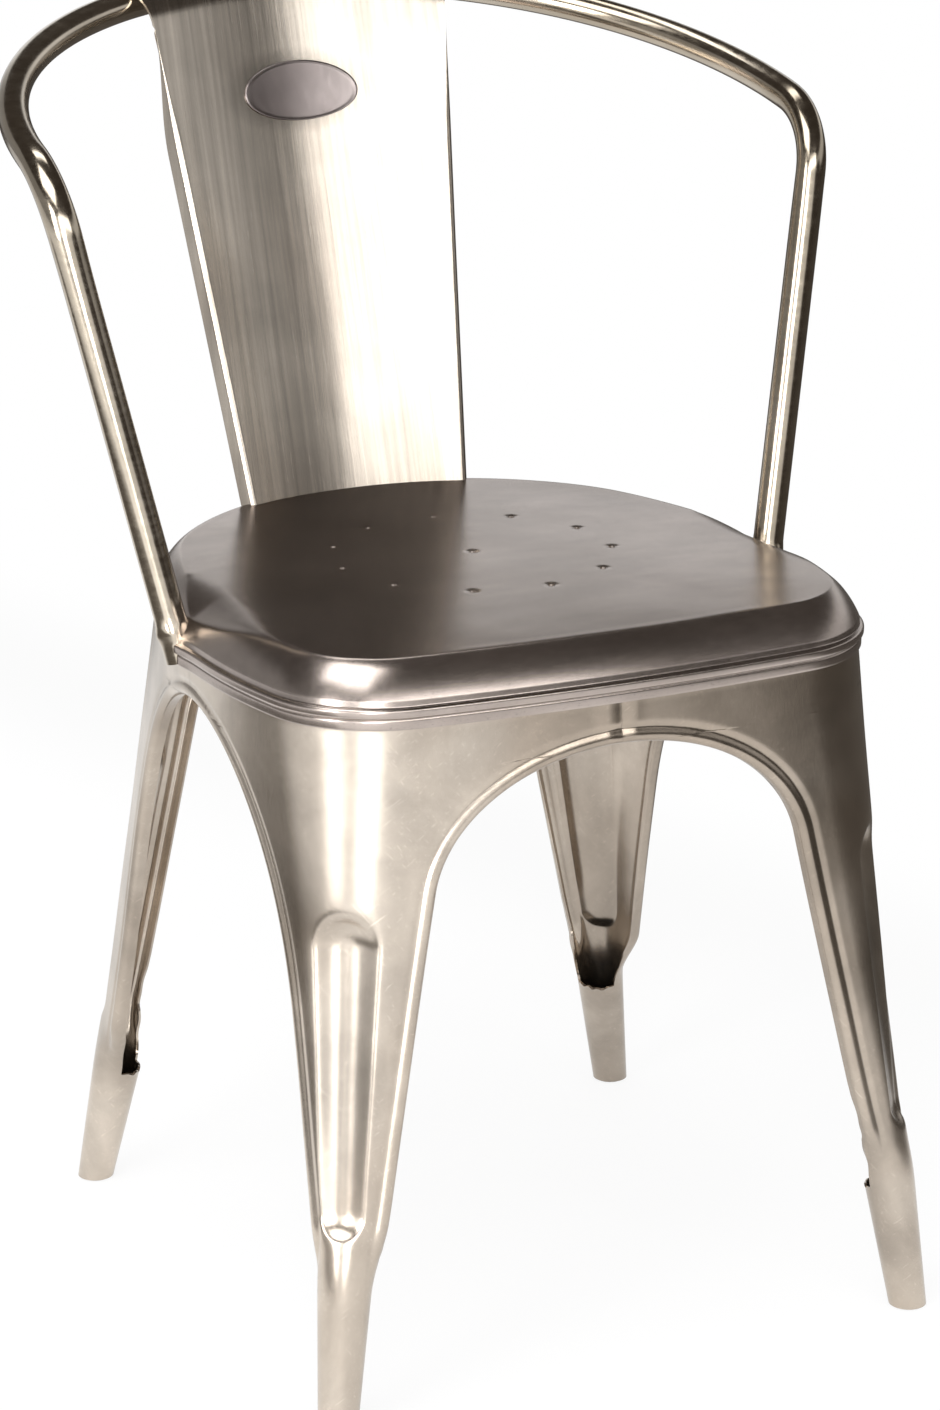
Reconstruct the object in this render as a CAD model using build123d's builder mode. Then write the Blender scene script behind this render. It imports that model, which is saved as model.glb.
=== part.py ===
from build123d import *
import os
from math import asin, atan2, cos, degrees, radians, sin, sqrt, tan

os.makedirs("parts", exist_ok=True)

# Sizes in millimetres. The floor is z = 0, the front of the chair faces -Y.

# Sheet and fits
sheet = 1.5
weld_gap = 0.2
slip = 0.3
press = 0.1
over = 10.0

# Seat pan
seat_height = 450.0
band_height = 13.0
bead_height = 6.5
bead_out = 2.4
band_step = 1.4
rim_drop = 40.0
crease_in = 31.0
crease_fall = 7.0
edge_round = 22.0

# Seat plan, seen from above: the arcs are tangent to one another
corner_x = 119.5
corner_y = -159.0
corner_r = 74.0
front_r = 1325.0
side_r = 395.0
rear_corner_x = 33.0
rear_corner_y = 3.0
rear_corner_r = 150.0
rear_r = 193.0

# Drain holes: one ring and a centre hole, each in a small dimple
drain_count = 11
drain_ring_r = 86.5
drain_y = -39.3
drain_turn = 80.8
drain_d = 4.0
dimple_d = 9.0
dimple_deep = 0.7

# Legs
foot_top = 75.0
foot_tube_top = 98.0
foot_r_floor = 11.6
foot_r_top = 15.4
front_foot_x = 192.5
front_foot_y = -259.5
front_lean_x = 0.12
front_lean_y = 0.13
rear_foot_x = 192.1
rear_foot_y = 137.5
rear_lean_x = 0.17
rear_lean_y = 0.12
low_side_r = 3000.0
foot_inset = 0.4
leg_hollow = 3.0
tuck = 10.0
lip_deep = 8.0

# Arches between the legs
apron = 25.5
arch_rise = 84.5
arch_half = 120.0
arch_join = 8.2
arch_flare = 0.36
arch_flare_z = 115.0
side_apron = 20.0
side_arch_rise = 260.0
side_arch_half = 146.0
side_arch_join = 24.5
side_arch_flare = 0.3
side_seam_y = -68.5

# Flute pressed in each leg corner
flute_top_z = 283.0
flute_low_z = 130.0
flute_top_r = 29.0
flute_low_r = 21.0
flute_top_out = 20.0
flute_low_out = 14.5
front_flute_turn = -52.0
rear_flute_turn = 45.0

# Arm and back tube
tube_d = 19.0
tube_wall = 1.5
loop_r = 253.0
loop_y = 15.5
loop_above = 249.0
loop_tilt = 14.1
loop_start = 2.5
shoulder_r = 52.0
tube_foot_x = 197.5
tube_foot_y = -52.7

# Back splat
splat_tuck = 14.0
splat_low_half = 74.5
splat_low_r = 197.0
splat_low_y = 137.5
splat_top_half = 102.0
splat_flange = 12.0
splat_bend_r = 4.0
roll_r = 26.0
roll_turn = 31.0
roll_back = 80.0

# Oval plate
plate_wide = 77.0
plate_tall = 38.5
plate_thick = 1.0
plate_above = 245.0

# Cross brace under the seat
brace_wide = 25.0
brace_thick = 3.0
brace_below = 12.0

# Foot plugs
plug_proud = 0.8
plug_tall = 14.0

rim_z = seat_height - rim_drop
band_top = rim_z + band_height
loop_z = seat_height + loop_above
splat_low_z = seat_height - splat_tuck
plate_z = seat_height + plate_above
brace_z = rim_z - brace_below
tube_r = tube_d / 2
skirt_in = sheet + weld_gap
half_turn = sqrt(0.5)


def mix(a, b, s):
    return a + (b - a) * s


def arcs(front, rear, r_front, r_side, r_rear):
    """Right half of a plan outline as five tangent arcs: centre, radius, start and end angle."""
    fx, fy, fr = front
    bx, by, br = rear
    front_y = fy + sqrt((r_front - fr) ** 2 - fx**2)
    rear_y = by - sqrt((r_rear - br) ** 2 - bx**2)
    gap = sqrt((bx - fx) ** 2 + (by - fy) ** 2)
    ux, uy = (bx - fx) / gap, (by - fy) / gap
    along = ((r_side - fr) ** 2 - (r_side - br) ** 2 + gap**2) / (2 * gap)
    across = sqrt((r_side - fr) ** 2 - along**2)
    sx = fx + along * ux - across * uy
    sy = fy + along * uy + across * ux
    a1 = degrees(atan2(fy - front_y, fx))
    a2 = degrees(atan2(fy - sy, fx - sx))
    a3 = degrees(atan2(by - sy, bx - sx))
    a4 = degrees(atan2(by - rear_y, bx))
    return [
        ((0, front_y), r_front, -90, a1),
        ((fx, fy), fr, a1, a2),
        ((sx, sy), r_side, a2, a3),
        ((bx, by), br, a3, a4),
        ((0, rear_y), r_rear, a4, 90),
    ]


def seat_arcs():
    return arcs(
        (corner_x, corner_y, corner_r),
        (rear_corner_x, rear_corner_y, rear_corner_r),
        front_r,
        side_r,
        rear_r,
    )


def seat_plan(z, inset):
    """Whole seat outline at height z, moved in by inset."""
    with BuildSketch(Plane.XY.offset(z)) as plan:
        with BuildLine():
            for centre, r, a, b in seat_arcs():
                CenterArc(centre, r - inset, a, b - a)
            mirror(about=Plane.YZ)
        make_face()
    return plan.sketch


def foot_axis(x, y, lean_x, lean_y, z):
    """Point of a leaning foot tube's axis at height z."""
    side = 1 if y > 0 else -1
    return (x - lean_x * z, y - side * lean_y * z)


def leg_arcs(z):
    """Leg shell outline at height z: the seat's plan at the rim, four foot corners at the foot."""
    s = max(rim_z - z, 0) / (rim_z - foot_top)
    low_r = foot_r_top - foot_inset
    fx, fy = foot_axis(front_foot_x, front_foot_y, front_lean_x, front_lean_y, foot_top)
    bx, by = foot_axis(rear_foot_x, rear_foot_y, rear_lean_x, rear_lean_y, foot_top)
    hollow = leg_hollow * 4 * s * (1 - s)
    fr0 = corner_r - skirt_in
    br0 = rear_corner_r - skirt_in
    fr = mix(fr0, low_r, s)
    br = low_r + (br0 - low_r) * (1 - s) ** 1.5
    reach_x = mix(corner_x + fr0 * half_turn, fx + low_r * half_turn, s) - hollow * half_turn
    reach_y = mix(corner_y - fr0 * half_turn, fy - low_r * half_turn, s) + hollow * half_turn
    back_x = mix(rear_corner_x + br0 * half_turn, bx + low_r * half_turn, s)
    back_y = mix(rear_corner_y + br0 * half_turn, by + low_r * half_turn, s)
    r_front = 1 / mix(1 / (front_r - skirt_in), 1 / low_side_r, s)
    r_side = 1 / mix(1 / (side_r - skirt_in), 1 / low_side_r, s)
    r_rear = 1 / mix(1 / (rear_r - skirt_in), 1 / low_side_r, s)
    return arcs(
        (reach_x - fr * half_turn, reach_y + fr * half_turn, fr),
        (back_x - br * half_turn, back_y - br * half_turn, br),
        r_front,
        r_side,
        r_rear,
    )


def leg_half(z, inset):
    """Right half of the leg shell outline at height z, moved in by inset and closed on x = 0."""
    with BuildSketch(Plane.XY.offset(z)) as plan:
        with BuildLine() as edge:
            for centre, r, a, b in leg_arcs(z):
                CenterArc(centre, r - inset, a, b - a)
            Line(edge.line @ 1, edge.line @ 0)
        make_face()
    return plan.sketch


def leg_block(inset):
    """Solid right half of the leg shell, moved in by inset."""
    with BuildPart() as block:
        steps = 5
        for i in range(steps + 1):
            add(leg_half(mix(rim_z, foot_top, i / steps), inset))
        loft()
        extrude(leg_half(rim_z, inset), amount=tuck)
    return block.part


def arch(plane, half, rise, top, join, flare, shift, grow):
    """Arch opening through both sides of the legs, with its edge moved out by grow."""
    with BuildPart() as opening:
        with BuildSketch(plane):
            with BuildLine():
                crown = EllipticalCenterArc(
                    (shift, top - rise), half + grow, rise + grow, start_angle=join, arc_size=180 - 2 * join
                )
                side = crown @ 0
                drop = side.Y - arch_flare_z
                low = foot_top - over
                slope = tan(radians(join)) * half / rise
                knee_x = side.X + slope * drop
                end_x = knee_x + flare * (arch_flare_z - low)
                Polyline(
                    crown @ 0,
                    (knee_x, arch_flare_z),
                    (end_x, low),
                    (2 * shift - end_x, low),
                    (2 * shift - knee_x, arch_flare_z),
                    crown @ 1,
                )
            make_face()
        extrude(amount=loop_r * 2, both=True)
    return opening.part


def front_arch(grow):
    return arch(Plane.XZ, arch_half, arch_rise, rim_z - apron, arch_join, arch_flare, 0, grow)


def side_arch(grow):
    return arch(
        Plane.YZ,
        side_arch_half,
        side_arch_rise,
        rim_z - side_apron,
        side_arch_join,
        side_arch_flare,
        side_seam_y,
        grow,
    )


def flute(front, grow):
    """Tapering round-ended groove laid along a leg corner, with its wall moved out by grow."""
    turn = radians(front_flute_turn if front else rear_flute_turn)
    ends = []
    for z, out in ((flute_low_z, flute_low_out), (flute_top_z, flute_top_out)):
        centre, r, a, b = leg_arcs(z)[1 if front else 3]
        ends.append(Vector(centre[0] + (r + out) * cos(turn), centre[1] + (r + out) * sin(turn), z))
    axis = ends[1] - ends[0]
    level = Vector(axis.Y, -axis.X, 0)
    length = axis.length
    low_r = flute_low_r + grow
    top_r = flute_top_r + grow
    lean = asin((top_r - low_r) / length)
    low_half = radians(45) + lean / 2
    top_half = radians(45) - lean / 2
    with BuildPart() as groove:
        with BuildSketch(Plane(origin=ends[0], x_dir=level, z_dir=level.cross(axis))):
            with BuildLine():
                low = ThreePointArc(
                    (0, -low_r),
                    (low_r * cos(low_half), -low_r * sin(low_half)),
                    (low_r * cos(lean), -low_r * sin(lean)),
                )
                cap = ThreePointArc(
                    (top_r * cos(lean), length - top_r * sin(lean)),
                    (top_r * cos(top_half), length + top_r * sin(top_half)),
                    (0, length + top_r),
                )
                Line(low @ 1, cap @ 0)
                Line(cap @ 1, low @ 0)
            make_face()
        revolve(axis=Axis(ends[0], axis))
    return groove.part


def foot_cone(front, r_in, low, high):
    """Leaning tapered plug of the foot tube's outside, thinned by r_in, between two heights."""
    if front:
        x, y, lean_x, lean_y = front_foot_x, front_foot_y, front_lean_x, front_lean_y
    else:
        x, y, lean_x, lean_y = rear_foot_x, rear_foot_y, rear_lean_x, rear_lean_y
    start = Vector(*foot_axis(x, y, lean_x, lean_y, -over), -over)
    axis = Vector(*foot_axis(x, y, lean_x, lean_y, foot_top), foot_top) - start
    growth = (foot_r_top - foot_r_floor) / foot_top
    tall = foot_tube_top + 4 * over
    level = Vector(axis.Y, -axis.X, 0)
    with BuildPart() as cone:
        with BuildSketch(Plane(origin=start, x_dir=level, z_dir=level.cross(axis))):
            with BuildLine():
                Polyline(
                    (0, 0),
                    (foot_r_floor - over * growth - r_in, 0),
                    (foot_r_floor + (tall - over) * growth - r_in, tall),
                    (0, tall),
                    close=True,
                )
            make_face()
        revolve(axis=Axis(start, axis))
        split(bisect_by=Plane.XY.offset(low), keep=Keep.TOP)
        split(bisect_by=high, keep=Keep.BOTTOM)
    return cone.part


def foot_mouth(front):
    """Sloping plane that opens the top of a foot tube towards the middle of the chair."""
    if front:
        x, y = foot_axis(front_foot_x, front_foot_y, front_lean_x, front_lean_y, foot_top)
    else:
        x, y = foot_axis(rear_foot_x, rear_foot_y, rear_lean_x, rear_lean_y, foot_top)
    rise = (foot_tube_top - foot_top) / (2 * foot_r_top)
    side = 1 if y > 0 else -1
    middle = (foot_tube_top + foot_top) / 2
    return Plane(origin=(x, y, middle), z_dir=(-rise * half_turn, -side * rise * half_turn, 1))


# Arm and back tube: a straight leg, a shoulder bend and a tilted round loop
tilt = radians(loop_tilt)
loop_plane = Plane(origin=(0, loop_y, loop_z), x_dir=(1, 0, 0), z_dir=(0, -sin(tilt), cos(tilt)))
tube_foot = Vector(tube_foot_x, tube_foot_y, rim_z)
turn = radians(loop_start)
loop_begin = loop_plane.from_local_coords(Vector(loop_r * cos(turn), loop_r * sin(turn)))
arm_way = loop_plane.from_local_coords(Vector(-sin(turn), cos(turn))) - loop_plane.origin
shoulder = loop_begin - arm_way * shoulder_r
for step in range(12):
    leg_way = (shoulder - tube_foot).normalized()
    bend = radians(leg_way.get_angle(arm_way))
    shoulder = loop_begin - arm_way * (shoulder_r * tan(bend / 2))
leg_end = shoulder - leg_way * (shoulder_r * tan(bend / 2))


def tube_bore(r, low, high):
    """Rod along the right tube leg's axis between two heights."""
    start = tube_foot - leg_way * (2 * over)
    with BuildPart() as rod:
        with BuildSketch(Plane(origin=start, z_dir=leg_way)):
            Circle(r)
        extrude(amount=rim_drop * 2 + 2 * over)
        split(bisect_by=Plane.XY.offset(low), keep=Keep.TOP)
        split(bisect_by=Plane.XY.offset(high), keep=Keep.BOTTOM)
    return rod.part


with BuildPart() as back_tube:
    with BuildLine() as tube_path:
        right_leg = Line(tube_foot - leg_way * over, leg_end)
        right_bend = TangentArc(leg_end, loop_begin, tangent=leg_way)
        loop_back = loop_plane.from_local_coords(Vector(0, loop_r))
        loop_stop = Vector(-loop_begin.X, loop_begin.Y, loop_begin.Z)
        ThreePointArc(loop_begin, loop_back, loop_stop)
        middle = right_bend @ 0.5
        left_end = Vector(-leg_end.X, leg_end.Y, leg_end.Z)
        ThreePointArc(loop_stop, (-middle.X, middle.Y, middle.Z), left_end)
        foot = right_leg @ 0
        Line(left_end, (-foot.X, foot.Y, foot.Z))
    with BuildSketch(Plane(origin=foot, z_dir=leg_way)):
        Circle(tube_r)
        Circle(tube_r - tube_wall, mode=Mode.SUBTRACT)
    sweep(path=tube_path.line)
    split(bisect_by=Plane.XY.offset(rim_z + slip), keep=Keep.TOP)
back_tube.part.label = "back_tube"
export_step(back_tube.part, "parts/back_tube.step")


# Seat pan: pressed top with a sloped, rounded edge, a bead and a skirt band
def pan_block(inset, top):
    """Solid seat pan with its sloped and rounded edge, moved in by inset."""
    with BuildPart() as block:
        extrude(seat_plan(rim_z, inset), amount=top - rim_z)
        crown = block.faces().sort_by(Axis.Z)[-1]
        chamfer(crown.edges(), length=crease_in, length2=crease_fall, reference=crown)
        bend_z = top - crease_fall
        bend = block.edges().filter_by_position(Axis.Z, bend_z - press, bend_z + press)
        fillet(bend, edge_round - inset)
    return block.part


def bead_ring():
    """Half-round bead pressed out along the top of the skirt band."""
    with BuildPart() as ring:
        extrude(seat_plan(rim_z + band_height - bead_height, -bead_out), amount=bead_height)
        fillet(ring.edges(), bead_out - press)
    return ring.part


pan_outside = pan_block(band_step, seat_height)
pan_hollow = pan_block(band_step + sheet, seat_height - sheet)
bead = bead_ring()
collar_r = tube_r + slip + sheet
collar = tube_bore(collar_r, rim_z, band_top)
tube_way = tube_bore(tube_r + slip, rim_z - over, seat_height)
with BuildPart() as seat_pan:
    add(pan_outside)
    extrude(seat_plan(rim_z, 0), amount=band_height)
    add(bead)
    add(pan_hollow, mode=Mode.SUBTRACT)
    extrude(seat_plan(rim_z, sheet), amount=band_height - sheet, mode=Mode.SUBTRACT)
    add(collar)
    mirror(collar, about=Plane.YZ)
    add(tube_way, mode=Mode.SUBTRACT)
    mirror(tube_way, about=Plane.YZ, mode=Mode.SUBTRACT)
    with Locations((0, drain_y, seat_height)):
        sink = 2 * degrees(atan2((dimple_d - drain_d) / 2, dimple_deep))
        CounterSinkHole(drain_d / 2, dimple_d / 2, depth=3 * sheet, counter_sink_angle=sink)
        with PolarLocations(drain_ring_r, drain_count, start_angle=drain_turn):
            CounterSinkHole(drain_d / 2, dimple_d / 2, depth=3 * sheet, counter_sink_angle=sink)
seat_pan.part.label = "seat_pan"
export_step(seat_pan.part, "parts/seat_pan.step")

# Legs: pressed corner shells with arched, turned-in edges, a corner flute and a rolled foot tube
leg_outside = leg_block(0)
leg_inside = leg_block(sheet)
leg_core = leg_block(lip_deep)
seam = Plane(origin=(0, side_seam_y, 0), z_dir=(0, 1, 0))
front_open = front_arch(0)
side_open = side_arch(0)
front_edge = front_arch(sheet)
side_edge = side_arch(sheet)


def lips(keep):
    """Turned-in edges of the arches on one half of the right side."""
    with BuildPart() as strips:
        add(front_edge)
        add(side_edge)
        add(front_open, mode=Mode.SUBTRACT)
        add(side_open, mode=Mode.SUBTRACT)
        add(leg_outside, mode=Mode.INTERSECT)
        add(leg_core, mode=Mode.SUBTRACT)
        split(bisect_by=seam, keep=keep)
    return strips.part


def flute_wall(front):
    """Sheet round the flute, inside the leg's outside."""
    with BuildPart() as wall:
        add(flute(front, sheet))
        add(leg_outside, mode=Mode.INTERSECT)
    return wall.part


def foot_tube(front):
    """Rolled tapered foot with a sloping open mouth at the top."""
    mouth = foot_mouth(front)
    outside = foot_cone(front, 0, plug_proud, mouth)
    bore = foot_cone(front, sheet, -over / 2, Plane.XY.offset(foot_tube_top + 2 * over))
    with BuildPart() as tube:
        add(outside)
        add(bore, mode=Mode.SUBTRACT)
    return tube.part


front_lips = lips(Keep.BOTTOM)
front_wall = flute_wall(True)
front_flute = flute(True, 0)
front_tube = foot_tube(True)
with BuildPart() as leg_front_right:
    add(leg_outside)
    add(leg_inside, mode=Mode.SUBTRACT)
    split(bisect_by=seam, keep=Keep.BOTTOM)
    add(front_wall)
    add(front_open, mode=Mode.SUBTRACT)
    add(side_open, mode=Mode.SUBTRACT)
    add(front_lips)
    add(front_flute, mode=Mode.SUBTRACT)
    add(front_tube)
leg_front_right.part.label = "leg_front_right"
export_step(leg_front_right.part, "parts/leg_front_right.step")

with BuildPart() as leg_front_left:
    mirror(leg_front_right.part, about=Plane.YZ)
leg_front_left.part.label = "leg_front_left"
export_step(leg_front_left.part, "parts/leg_front_left.step")

rear_lips = lips(Keep.TOP)
rear_wall = flute_wall(False)
rear_flute = flute(False, 0)
rear_tube = foot_tube(False)
tube_notch = tube_bore(collar_r + slip, rim_z - slip, seat_height)
with BuildPart() as leg_rear_right:
    add(leg_outside)
    add(leg_inside, mode=Mode.SUBTRACT)
    split(bisect_by=seam, keep=Keep.TOP)
    add(rear_wall)
    add(front_open, mode=Mode.SUBTRACT)
    add(side_open, mode=Mode.SUBTRACT)
    add(rear_lips)
    add(rear_flute, mode=Mode.SUBTRACT)
    add(rear_tube)
    add(tube_notch, mode=Mode.SUBTRACT)
leg_rear_right.part.label = "leg_rear_right"
export_step(leg_rear_right.part, "parts/leg_rear_right.step")

with BuildPart() as leg_rear_left:
    mirror(leg_rear_right.part, about=Plane.YZ)
leg_rear_left.part.label = "leg_rear_left"
export_step(leg_rear_left.part, "parts/leg_rear_left.step")

# Back splat: a curved, tapering sheet with turned-back sides, rolled over the tube at the top
roll_start = radians(roll_turn)
roll_mid = tube_r + weld_gap - roll_r
roll_in = loop_r - roll_r * cos(roll_start)
roll_h = roll_mid + roll_r * sin(roll_start)
face_r = roll_in - sheet / cos(roll_start)
top_plane = Plane(
    origin=loop_plane.from_local_coords(Vector(0, 0, roll_h)), x_dir=(1, 0, 0), z_dir=loop_plane.z_dir
)
low_plane = Plane.XY.offset(splat_low_z)
low_centre = splat_low_y - splat_low_r
face_low = Vector(0, splat_low_y, splat_low_z)
face_top = top_plane.from_local_coords(Vector(0, face_r))
face_up = (face_top - face_low).normalized()


def sector(plane, centre_y, near, far, half):
    """Piece of a ring between two radii, half wide on each side at the near radius."""
    reach = degrees(asin(half / near))
    with BuildSketch(plane) as piece:
        with BuildLine():
            close_arc = CenterArc((0, centre_y), near, 90 - reach, 2 * reach)
            far_arc = CenterArc((0, centre_y), far, 90 - reach, 2 * reach)
            Line(close_arc @ 0, far_arc @ 0)
            Line(close_arc @ 1, far_arc @ 1)
        make_face()
    return piece.sketch


def splat_block(front, back, side, round_r):
    """Tapering curved block between the seat and the tube; front and back count from the face."""
    with BuildPart() as block:
        add(
            sector(
                low_plane,
                low_centre,
                splat_low_r + front / face_up.Z,
                splat_low_r + back,
                splat_low_half - side,
            )
        )
        add(
            sector(
                top_plane,
                0,
                face_r + front / cos(roll_start),
                face_r + back,
                splat_top_half - side,
            )
        )
        loft(ruled=True)
        if round_r > 0:
            sides = block.edges().filter_by(lambda edge: edge.bounding_box().size.Z > splat_low_half * 2)
            fillet(sides.sort_by(Axis.Y)[:2], round_r)
    return block.part


splat_outside = splat_block(0, splat_flange, 0, splat_bend_r)
splat_inside = splat_block(sheet, splat_flange + over, sheet, splat_bend_r - sheet)
pan_clear = pan_block(band_step - weld_gap, seat_height + weld_gap)
spread = asin(splat_top_half / face_r)
roll_way = loop_plane.from_local_coords(Vector(sin(spread), cos(spread))) - loop_plane.origin
roll_plane = Plane(origin=loop_plane.origin, x_dir=roll_way, z_dir=roll_way.cross(loop_plane.z_dir))
with BuildPart() as tube_room_ring:
    with BuildSketch(roll_plane):
        with Locations((loop_r, 0)):
            Circle(tube_r + weld_gap)
    revolve(axis=Axis(loop_plane.origin, loop_plane.z_dir))
tube_room = tube_room_ring.part
with BuildPart() as back_splat:
    add(splat_outside)
    add(splat_inside, mode=Mode.SUBTRACT)
    with BuildSketch(roll_plane):
        with BuildLine():
            outer_roll = CenterArc(
                (loop_r, roll_mid), roll_r + sheet, 90, 90 - degrees(roll_start)
            )
            outer_back = CenterArc((loop_r, 0), tube_r + weld_gap + sheet, 90, -roll_back)
            inner_back = CenterArc((loop_r, 0), tube_r + weld_gap, 90, -roll_back)
            inner_roll = CenterArc((loop_r, roll_mid), roll_r, 90, 90 - degrees(roll_start))
            Line(outer_back @ 1, inner_back @ 1)
            Line(outer_roll @ 1, (face_r, roll_h))
            Line((face_r, roll_h), inner_roll @ 1)
        make_face()
    revolve(axis=Axis(loop_plane.origin, loop_plane.z_dir), revolution_arc=2 * degrees(spread))
    add(tube_room, mode=Mode.SUBTRACT)
    add(pan_clear, mode=Mode.SUBTRACT)
back_splat.part.label = "back_splat"
export_step(back_splat.part, "parts/back_splat.step")

# Oval plate on the splat's face
plate_mid = face_low + face_up * ((plate_z - splat_low_z) / face_up.Z)
plate_blank = splat_block(-weld_gap - plate_thick, -weld_gap, -over, 0)
with BuildPart() as oval_plate:
    add(plate_blank)
    with BuildSketch(Plane(origin=plate_mid, x_dir=(1, 0, 0), z_dir=face_up.cross(Vector(-1, 0, 0)))):
        Ellipse(plate_wide / 2, plate_tall / 2)
    extrude(amount=2 * over, both=True, mode=Mode.INTERSECT)
oval_plate.part.label = "oval_plate"
export_step(oval_plate.part, "parts/oval_plate.step")

# Cross brace: two strips that cross under the seat and end on the leg corners
brace_plan = seat_plan(brace_z - over, skirt_in + sheet + slip)
front_end = Vector(-corner_x - corner_r * half_turn, corner_y - corner_r * half_turn)
rear_end = Vector(rear_corner_x + rear_corner_r * half_turn, rear_corner_y + rear_corner_r * half_turn)
brace_way = rear_end - front_end
brace_turn = degrees(atan2(brace_way.Y, brace_way.X))
brace_mid = (front_end + rear_end) * 0.5


def strip(z):
    """Flat strip from the front left corner to the rear right corner."""
    place = Plane(origin=(brace_mid.X, brace_mid.Y, z)).rotated((0, 0, brace_turn))
    with BuildPart() as bar:
        with BuildSketch(place):
            Rectangle(brace_way.length + 6 * over, brace_wide)
        extrude(amount=brace_thick)
        extrude(brace_plan, amount=4 * over, mode=Mode.INTERSECT)
    return bar.part


with BuildPart() as brace_lower:
    add(strip(brace_z))
brace_lower.part.label = "brace_lower"
export_step(brace_lower.part, "parts/brace_lower.step")

upper_strip = strip(brace_z + brace_thick + weld_gap)
with BuildPart() as brace_upper:
    mirror(upper_strip, about=Plane.YZ)
brace_upper.part.label = "brace_upper"
export_step(brace_upper.part, "parts/brace_upper.step")

# Plugs that close the foot tubes and stand just proud of them
plug_top = Plane.XY.offset(plug_tall)
front_plug = foot_cone(True, sheet + press, 0, plug_top)
rear_plug = foot_cone(False, sheet + press, 0, plug_top)

with BuildPart() as plug_front_right:
    add(front_plug)
plug_front_right.part.label = "foot_plug_front_right"
export_step(plug_front_right.part, "parts/foot_plug_front_right.step")

with BuildPart() as plug_front_left:
    mirror(front_plug, about=Plane.YZ)
plug_front_left.part.label = "foot_plug_front_left"
export_step(plug_front_left.part, "parts/foot_plug_front_left.step")

with BuildPart() as plug_rear_right:
    add(rear_plug)
plug_rear_right.part.label = "foot_plug_rear_right"
export_step(plug_rear_right.part, "parts/foot_plug_rear_right.step")

with BuildPart() as plug_rear_left:
    mirror(rear_plug, about=Plane.YZ)
plug_rear_left.part.label = "foot_plug_rear_left"
export_step(plug_rear_left.part, "parts/foot_plug_rear_left.step")
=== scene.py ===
import bmesh
import bpy
import numpy as np
from mathutils import Matrix, Vector


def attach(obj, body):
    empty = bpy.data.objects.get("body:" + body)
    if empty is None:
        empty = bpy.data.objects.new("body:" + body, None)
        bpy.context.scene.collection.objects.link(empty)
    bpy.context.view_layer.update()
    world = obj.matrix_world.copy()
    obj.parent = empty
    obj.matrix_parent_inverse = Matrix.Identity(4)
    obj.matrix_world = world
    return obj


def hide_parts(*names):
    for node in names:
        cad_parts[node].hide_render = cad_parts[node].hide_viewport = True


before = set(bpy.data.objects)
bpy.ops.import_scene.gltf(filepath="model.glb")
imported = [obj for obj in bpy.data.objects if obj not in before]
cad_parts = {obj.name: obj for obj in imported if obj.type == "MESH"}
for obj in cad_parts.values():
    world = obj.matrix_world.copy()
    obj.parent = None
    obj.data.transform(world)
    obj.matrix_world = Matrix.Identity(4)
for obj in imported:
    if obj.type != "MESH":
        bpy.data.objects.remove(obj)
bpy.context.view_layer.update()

# Sizes in millimetres and turns in degrees, in the chair's own frame: floor at z = 0, front towards -Y
MM = 0.001
SHEET = 1.5

# Distances under which points are merged and slivers taken out
MERGE = 0.01
SLIVER = 0.004

# Seat pan
SEAT_Z = 450.0
RIM_Z = 410.0
BAND_TOP = 423.0
BEAD_LOW = 416.5
BEAD_OUT = 2.4
WALL_IN = 1.4
CREASE_IN = 18.0
CREASE_Z = 447.2
EDGE_FLAT = 0.58
SEAT_ARCS = dict(
    front=(119.5, -159.0, 74.0),
    rear=(33.0, 3.0, 150.0),
    r_front=1325.0,
    r_side=395.0,
    r_rear=193.0,
)
SKIRT_IN = 1.7
DRAIN_MID = (0.0, -39.3)
DRAIN_RING = 86.5
DRAIN_COUNT = 11
DRAIN_TURN = 80.8
DRAIN_R = 2.0
DIMPLE_R = 5.4
DIMPLE_DEEP = 0.6

# Legs
LEG_TOP = 416.0
FOOT_TOP = 75.0
FOOT_R_FLOOR = 11.6
FOOT_R_TOP = 15.4
FOOT_INSET = 0.4
FOOT_END = 0.8
FOOT_MOUTH = 79.0
FOOT_SPAN = 250.0
CURL_Z = (122.0, 77.0)
FEET = {"front": (192.5, -259.5, 0.12, -0.13), "rear": (192.1, 137.5, 0.17, 0.12)}
LOW_SIDE_R = 3000.0
LEG_HOLLOW = 3.0
ARCH = dict(half=120.0, rise=84.5, top=384.5, join=8.2, flare=0.36)
SIDE_ARCH = dict(half=146.0, rise=260.0, top=390.0, join=24.5, flare=0.3)
FLARE_Z = 115.0
FLARE_SOFT = 9.0
SIDE_SEAM_Y = -68.5
SEAM_HALF = 0.06
FLUTE_Z = (131.0, 284.0)
FLUTE_HALF = (14.4, 19.6)
FLUTE_DEEP = (6.8, 9.4)
FLUTE_TURN = {"front_right": -41.0, "front_left": -52.0, "rear_right": 45.0, "rear_left": 45.0}
FLUTE_SOFT = 0.1
FLUTE_ROUND = 2.5
LIP = 8.5
ROLL = 4.2
LIP_FADE = (82.0, 108.0)

# Columns beside a leg's edge, how far a normal has to face a side, and a distance out of reach
EDGE_STEPS = (0.0, 0.2, 0.5, 0.9, 1.4, 2.0, 2.7, 3.5, 4.4, 5.4, 6.4, 7.4, 8.4, 9.4, 10.6, 12.2)
FACING = 0.6
FAR_OFF = 99.0

# Arm and back tube
TUBE_R = 9.5
LOOP_R = 253.0
LOOP_MID = (0.0, 15.5, 699.0)
LOOP_TILT = 14.1
LOOP_START = 2.5
SHOULDER_R = 52.0
TUBE_FOOT = (197.5, -52.7, 410.3)
TUBE_WELD_Z = 428.0

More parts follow.
